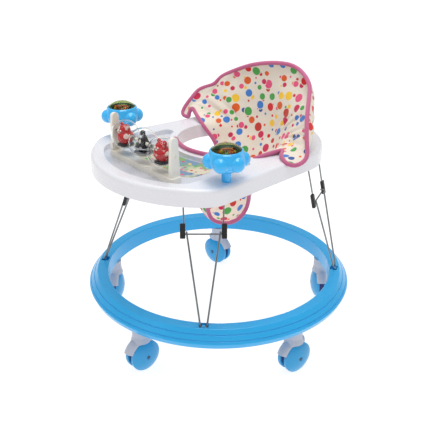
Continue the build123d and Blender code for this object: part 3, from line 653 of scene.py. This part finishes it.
EDGE_KNOTS = [0, 0.06, 0.13, 0.25, 0.38, 0.5, 0.62, 0.75, 0.87, 0.94, 1]
TOP_KNOTS = [0, 0.03, 0.06, 0.1, 0.15, 0.215, 0.255, 0.345, 0.42, 0.49, 0.535, 0.58, 0.635, 0.68, 0.735, 0.8, 0.86,
             0.91, 0.94, 0.97, 1]
LIP_KNOTS = [0, 0.17, 0.34, 0.5, 0.66, 0.82, 0.93, 1]
WELL_KNOTS = [0, 0.17, 0.34, 0.5, 0.66, 0.8, 0.9, 1]
SEAT_ROWS = [
    # top edge of the back, with a tab at each end
    smooth_line([(-178, 56, 439), (-193, 46, 443), (-196, 55, 458), (-190, 73, 480), (-186, 94, 499),
                 (-155, 115, 514), (-149, 129, 530), (-105, 148, 555), (-62, 160, 572), (-10, 167, 584),
                 (27, 174, 587), (50, 182, 581), (84, 172, 572), (110, 160, 559), (135, 133, 539), (163, 101, 509),
                 (186, 79, 476), (201, 68, 448), (203, 56, 438), (198, 34, 432), (183, 24, 439)], TOP_KNOTS),
    # the padding rolls over behind the edge
    smooth_line([(-179, 57, 449), (-186, 60, 452), (-184, 72, 465), (-150, 113, 500), (-98, 152, 538), (0, 174, 562),
                 (94, 176, 550), (150, 134, 500), (184, 92, 466), (190, 60, 444), (172, 28, 441)], EDGE_KNOTS),
    # half way down the back
    smooth_line([(-172, 61, 461), (-171, 69, 464), (-166, 80, 470), (-132, 114, 487), (-88, 146, 506), (0, 163, 516),
                 (86, 150, 507), (138, 118, 483), (168, 78, 456), (172, 56, 445), (158, 36, 443)], EDGE_KNOTS),
    # on the lip of the well
    smooth_line([(-152, 58, 451), (-102, 110, 446), (-48, 141, 445), (0, 148, 446), (48, 141, 445), (98, 111, 444),
                 (136, 55, 445)]),
    smooth_line([(-130, 51, 444), (-92, 109, 440), (-46, 138, 440), (0, 146, 441), (46, 138, 440), (93, 110, 440),
                 (129, 46, 443), (132, 16, 443)], LIP_KNOTS),
    # just inside it
    smooth_line([(-113, 52, 431), (-87, 107, 431), (-44, 136, 431), (0, 143, 431), (44, 136, 431), (88, 107, 431),
                 (114, 50, 431), (118, -10, 434)], WELL_KNOTS),
    smooth_line([(-93, 66, 397), (-76, 96, 398), (-40, 121, 399), (0, 129, 400), (42, 123, 399), (80, 97, 398),
                 (104, 48, 398), (98, 0, 402)], WELL_KNOTS),
    # the pouch
    smooth_line([(-58, 62, 334), (-34, 79, 332), (0, 86, 332), (38, 78, 332), (68, 30, 338)]),
    smooth_line([(-44, 38, 288), (-24, 46, 277), (0, 50, 275), (28, 49, 279), (51, 41, 292)]),
    # the crotch
    smooth_line([(-42, 14, 268), (-22, 17, 254), (4, 19, 250), (28, 20, 256), (50, 20, 268)]),
    smooth_line([(-38, -2, 268), (-20, -2, 256), (0, -1, 250), (16, 1, 250), (30, 5, 252)]),
    smooth_line([(-34, -18, 272), (-12, -22, 262), (14, -26, 262)]),
    smooth_line([(-32, -37, 300), (-10, -41, 294), (11, -40, 292)]),
    smooth_line([(-46, -57, 353), (-4, -65, 350), (32, -58, 350)]),
    smooth_line([(-68, -58, 398), (-36, -73, 397), (0, -78, 396), (36, -73, 397), (68, -58, 398)]),
    # the front of the well
    smooth_line([(-86, -46, 427), (-49, -67, 429), (0, -77, 429), (49, -66, 429), (88, -38, 429)]),
    smooth_line([(-88, -54, 436), (-52, -73, 441), (0, -84, 441), (52, -72, 441), (93, -42, 441)]),
]
print("seat rows:", len(SEAT_ROWS))

# %% [markdown]
# Rows are spaced by their real distance down the seat, so the grid's cells stay even. Fabric is never smooth: shallow
# folds run down the sides of the back where the cloth turns, the rest is a little slack, and small puckers sit along
# the binding where the tape draws the edge in.

# %% The seat's surface
steps = [0.0]
for above, below in zip(SEAT_ROWS, SEAT_ROWS[1:]):
    steps.append(steps[-1] + sum((above(s) - below(s)).length for s in (0.2, 0.5, 0.8)) / 3)
row_knots = [v / steps[-1] for v in steps]


def seat_plain(across, down):
    """A point of the seat's cloth, in mm, before folds."""
    return smooth_line([row(across) for row in SEAT_ROWS], row_knots)(down)


def bell(value, middle, width):
    """1 at the middle, and near 0 beyond twice the width."""
    return math.exp(-((value - middle) / width) ** 2)


CLOTH_WIDTH, CLOTH_LENGTH = 600, 620
PUCKER_REACH_SIDE, PUCKER_REACH_TOP = 9, 10


def seat_fold(across, down, spot):
    """How far the cloth stands off its plain surface, in mm."""
    back = 1 - min(max((down - 0.16) / 0.1, 0), 1)
    folds = 3.4 * math.sin(across * 118 + 0.8) * bell(across, 0.80, 0.075) * back
    folds += 3.2 * math.sin(across * 150 + 1.1) * bell(across, 0.655, 0.05) * bell(down, 0.13, 0.1)
    folds += 2.2 * math.sin(across * 74 + 2.4) * bell(across, 0.20, 0.07) * back
    slack = 2.4 * noise.noise(spot * 0.021) + 1.1 * noise.noise(spot * 0.055)
    from_side, from_top = min(across, 1 - across) * CLOTH_WIDTH, down * CLOTH_LENGTH
    pucker = 0.8 * math.sin(down * 210) * math.exp(-from_side / PUCKER_REACH_SIDE)
    pucker += 0.9 * math.sin(across * 190) * math.exp(-from_top / PUCKER_REACH_TOP)
    settle = min(min(across, 1 - across) * 20, min(down, 1 - down) * 30, 1)
    return folds * settle + slack * settle + pucker


def seat_point(across, down):
    """A point of the seat's cloth, in mm, with its folds."""
    spot = seat_plain(across, down)
    near = 0.004
    side = seat_plain(min(across + near, 1), down) - seat_plain(max(across - near, 0), down)
    fall = seat_plain(across, min(down + near, 1)) - seat_plain(across, max(down - near, 0))
    out = side.cross(fall).normalized()
    return spot + out * seat_fold(across, down, spot)


ACROSS, DOWN = 76, 96
CLOTH_THICKNESS = 4.2 * MM
bm = bmesh.new()
bmesh.ops.create_grid(bm, x_segments=ACROSS, y_segments=DOWN, size=0.5, calc_uvs=False)
for vert in bm.verts:
    vert.co = seat_point(vert.co.x + 0.5, 0.5 - vert.co.y) * MM
cloth_mesh = mesh_from(bm, "seat_cloth")
seat_cloth = finish_piece("seat_cloth", "tray", dotted, cloth_mesh, ("seat_back", "seat_sling"))


def lay_flat(piece):
    """Unfolds a cloth into its UV map with little stretch, in metres of cloth."""
    mesh = piece.data
    mesh.uv_layers.new(name="UVMap")
    bpy.ops.object.select_all(action="DESELECT")
    piece.select_set(True)
    bpy.context.view_layer.objects.active = piece
    bpy.ops.object.mode_set(mode="EDIT")
    bpy.ops.mesh.select_all(action="SELECT")
    bpy.ops.uv.unwrap(method="MINIMUM_STRETCH", margin=0)
    bpy.ops.object.mode_set(mode="OBJECT")
    flat = mesh.uv_layers["UVMap"].data
    area = 0.0
    for face in mesh.polygons:
        corners = [flat[i].uv for i in face.loop_indices]
        area += abs(sum(a.cross(b) for a, b in zip(corners, corners[1:] + corners[:1]))) / 2
    size = math.sqrt(sum(f.area for f in mesh.polygons) / area)
    for corner in flat:
        corner.uv *= size
    spread = [max(c.uv[i] for c in flat) - min(c.uv[i] for c in flat) for i in (0, 1)]
    print(piece.name, "lies flat in", [round(v / MM) for v in spread], "mm")


lay_flat(seat_cloth)
thick = seat_cloth.modifiers.new("padding", "SOLIDIFY")
thick.thickness = CLOTH_THICKNESS
thick.offset = 0
smooth = seat_cloth.modifiers.new("soft edges", "SUBSURF")
smooth.levels = smooth.render_levels = 1

# %% [markdown]
# A folded tape runs round the whole edge of the panel: the top of the back, both leg holes and the front.

# %% Binding
BINDING_RADIUS = 4.6
TOP_PARTS, SIDE_PARTS, FRONT_PARTS = 90, 120, 40
edge = [seat_point(i / TOP_PARTS, 0) for i in range(TOP_PARTS + 1)]
edge += [seat_point(1, i / SIDE_PARTS) for i in range(1, SIDE_PARTS + 1)]
edge += [seat_point(1 - i / FRONT_PARTS, 1) for i in range(1, FRONT_PARTS + 1)]
edge += [seat_point(0, 1 - i / SIDE_PARTS) for i in range(1, SIDE_PARTS)]
for _ in range(3):
    edge = [(edge[i - 1] + edge[i] * 2 + edge[(i + 1) % len(edge)]) / 4 for i in range(len(edge))]
binding_mesh = tube("seat_binding", edge, BINDING_RADIUS, closed=True)
finish_piece("seat_binding", "tray", binding_pink, binding_mesh)
print("binding length in mm:", round(sum((a - b).length for a, b in zip(edge, edge[1:]))))


# %% [markdown]
# ## Toys
# Each rattle ball turns with its own small figure. The two outer figures are red with pale spots, and have ears, eyes
# and a snout. The middle one is a dark cone with a silver ring. All three stand on a rounded weight that fills the
# bottom of the ball, and a pale sleeve covers the rod inside.

# %% Rattle figures
dark_grey = plastic("weight dark grey", srgb(58, 60, 66), 0.4, 0.1)
silver = plastic("weight silver", srgb(188, 190, 196), 0.25, 0.1)
pale = plastic("pale trim", srgb(236, 232, 220), 0.3, 0.1)


def node_middle(node):
    """The middle of a CAD node's box, in mm."""
    low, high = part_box(node)
    return (low + high) / 2 / MM


def bowl_weight(centre, radius, level):
    """The bottom of a ball, filled up to a level below its centre."""
    bm = bmesh.new()
    bmesh.ops.create_uvsphere(bm, u_segments=48, v_segments=24, radius=radius * MM)
    cut = bmesh.ops.bisect_plane(bm, geom=bm.verts[:] + bm.edges[:] + bm.faces[:], plane_co=(0, 0, -level * MM),
                                 plane_no=(0, 0, 1), clear_outer=True)
    rim = [e for e in cut["geom_cut"] if isinstance(e, bmesh.types.BMEdge)]
    bmesh.ops.contextual_create(bm, geom=rim)
    bmesh.ops.translate(bm, vec=Vector(centre) * MM, verts=bm.verts)
    return bm


def cone(centre, low_radius, high_radius, height):
    """A cone with a blunt tip, or a drum, standing upright round its centre."""
    bm = bmesh.new()
    bmesh.ops.create_cone(bm, cap_ends=True, segments=40, radius1=low_radius * MM, radius2=high_radius * MM,
                          depth=height * MM)
    bmesh.ops.translate(bm, vec=centre * MM, verts=bm.verts)
    return bm


WEIGHT_RADIUS = 28.0
RING_RADIUS, RING_DROP = 17, 9.5
SLEEVE_HALF, SLEEVE_RADIUS = 25.5, 3.6
for side in ("left", "middle", "right"):
    middle = node_middle("ball_shell_" + side)
    body = "rattle_ball_" + side
    outer = side != "middle"
    weight = joined(f"toy_weight_{side}", [bowl_weight(middle, WEIGHT_RADIUS, 22.0 if outer else 20.0)])
    finish_piece(f"toy_weight_{side}", body, dark_grey if outer else silver, weight)
    if outer:
        trunk = ball(middle + Vector((0, 0, -5)), 16.5, (1.14, 1.05, 0.95))
        head = ball(middle + Vector((0, -1, 8)), 13.0)
        ears = [ball(middle + Vector((x, 0, 18.5)), 5.0, (1, 0.7, 1)) for x in (-9.5, 9.5)]
        shapes = [trunk, head, *ears]
    else:
        coat = cone(middle + Vector((0, 0, 5)), 17.0, 4.0, 29.0)
        foot = cone(middle + Vector((0, 0, -13)), 10.5, 7.0, 10.0)
        knob = ball(middle + Vector((0, 0, 19.5)), 5.6)
        shapes = [coat, foot, knob]
    figure = joined(f"toy_figure_{side}", shapes)
    finish_piece(f"toy_figure_{side}", body, figure_red if outer else figure_black, figure,
                 (f"ball_figure_{side}",))
    if outer:
        marks = [ball(middle + Vector((x, -13.4, 10.0)), 2.0) for x in (-4.2, 4.2)]
        marks.append(ball(middle + Vector((0, -14.0, 5.6)), 2.8, (1, 0.6, 0.7)))
    else:
        turns = [math.pi * i / 20 for i in range(40)]
        ring = [middle + Vector((RING_RADIUS * math.cos(a), RING_RADIUS * math.sin(a), -RING_DROP)) for a in turns]
        marks = [ball(middle + Vector((x, -10.8, 5)), 3.0, (1, 0.7, 1.4)) for x in (-4.4, 4.4)]
        finish_piece("toy_ring_middle", body, silver, tube("toy_ring_middle", ring, 1.4, closed=True))
    finish_piece(f"toy_trim_{side}", body, pale, joined(f"toy_trim_{side}", marks))
    ends = [middle + Vector((x, 0, 0)) for x in (-SLEEVE_HALF, SLEEVE_HALF)]
    finish_piece(f"toy_axle_{side}", body, pale, tube(f"toy_axle_{side}", ends, SLEEVE_RADIUS))
print("figures stand for", [n for n in nodes if n.startswith("ball_figure")])

# %% [markdown]
# Under each flower's clear dome lie a few loose beads and an orange bridge across a dark printed disc.

# %% Flower insides
BEADS = 9
BRIDGE_HALF, BRIDGE_RISE = 15, 8
rng = random.Random(5)
for side in ("left", "right"):
    body = "flower_" + side
    middle = node_middle("flower_disc_" + side)
    middle.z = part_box("flower_disc_" + side)[1].z / MM
    groups = {material: [] for material in bead_colours}
    for index in range(BEADS):
        angle, reach, radius = index * 2.4, 6 + 15 * rng.random(), 3.0 + 1.4 * rng.random()
        place = middle + Vector((reach * math.cos(angle), reach * math.sin(angle), radius))
        groups[bead_colours[index % len(bead_colours)]].append(ball(place, radius, detail=2))
    for number, (material, shapes) in enumerate(groups.items()):
        finish_piece(f"flower_beads_{side}_{number}", body, material,
                     joined(f"flower_beads_{side}_{number}", shapes))
    turns = [math.pi * i / 24 for i in range(25)]
    arch = [middle + Vector((BRIDGE_HALF * math.cos(a) * 0.5, BRIDGE_HALF * math.cos(a) * 0.85,
                             1.5 + BRIDGE_RISE * math.sin(a))) for a in turns]
    finish_piece(f"flower_bridge_{side}", body, bead_colours[0],
                 tube(f"flower_bridge_{side}", arch, 2.4))

# %% [markdown]
# ## Small trim
# A rivet head with a small screw below it marks where the rod goes through each post, and each wheel has a round cap
# over its axle, on the side away from the caster's core. The caps are dark blue: a painted shade for the shallow
# recess they sit in.

# %% Caps and screws
# The caps' dark blue is painted shade, standing in for the shade in the recess round each axle.
hub_recess_shade = plastic("hub cap dark blue recess shade", srgb(58, 92, 124), 0.4, 0.2, edge=0.0)
HUB_RADIUS, HUB_HEIGHT, HUB_RECESS = 3.7, 1.2, 0.5 * MM
for joint in frame["joints"]:
    if "wheel_spin" not in joint["name"]:
        continue
    child = joint["child"]
    kind, _, name = child.partition("_wheel_")
    points = [v.co for v in nodes[f"wheel_{kind}_{name}"].data.vertices]
    middle = sum(points, Vector()) / len(points)
    low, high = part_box("caster_core_" + name)
    axis = Vector(joint["axis"]).normalized()
    if axis.dot(middle - (low + high) / 2) < 0:
        axis.negate()
    hub = Vector(joint["pos_m"])
    face = max((p - hub).dot(axis) for p in points)
    cap = disc((hub + axis * (face - HUB_RECESS)) / MM, HUB_RADIUS, HUB_HEIGHT, axis, 0.5)
    finish_piece(f"hub_cap_{kind}_{name}", child, hub_recess_shade, mesh_from(cap, f"hub_cap_{kind}_{name}"))

POST_FACE, SCREW_DROP = 107.0, 31.0
rod = node_middle("toy_bar_rod")
for side, out in (("left", -1), ("right", 1)):
    rivet = disc((out * (POST_FACE + 0.5), rod.y, rod.z), 3.6, 1.6, (out, 0, 0))
    screw = disc((out * (POST_FACE + 0.1), rod.y - 3, rod.z - SCREW_DROP), 1.5, 0.8, (out, 0, 0), 0.1)
    finish_piece(f"post_rivet_{side}", "tray", pale, joined(f"post_rivet_{side}", [rivet, screw]))

# %% [markdown]
# ## The floor, and the end of the lesson
# The floor is a plain white sheet that glows a little, so that the walker stands on white with only a faint shadow.

# %% Floor
FLOOR_HALF = 80  # metres, so that its edge is far off in every view
floor_look, tree, shader = start_material("white floor")
shader.inputs["Base Color"].default_value = (0.3, 0.3, 0.3, 1)
shader.inputs["Roughness"].default_value = 0.9
shader.inputs["Emission Color"].default_value = (1, 1, 1, 1)
shader.inputs["Emission Strength"].default_value = 0.86
bm = bmesh.new()
bmesh.ops.create_grid(bm, x_segments=1, y_segments=1, size=FLOOR_HALF)
floor_mesh = mesh_from(bm, "floor")
floor_mesh.materials.append(floor_look)
floor = bpy.data.objects.new("floor", floor_mesh)
bpy.context.scene.collection.objects.link(floor)
floor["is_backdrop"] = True

low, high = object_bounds()
print("dressed walker in mm:", [round(v / MM) for v in high - low])
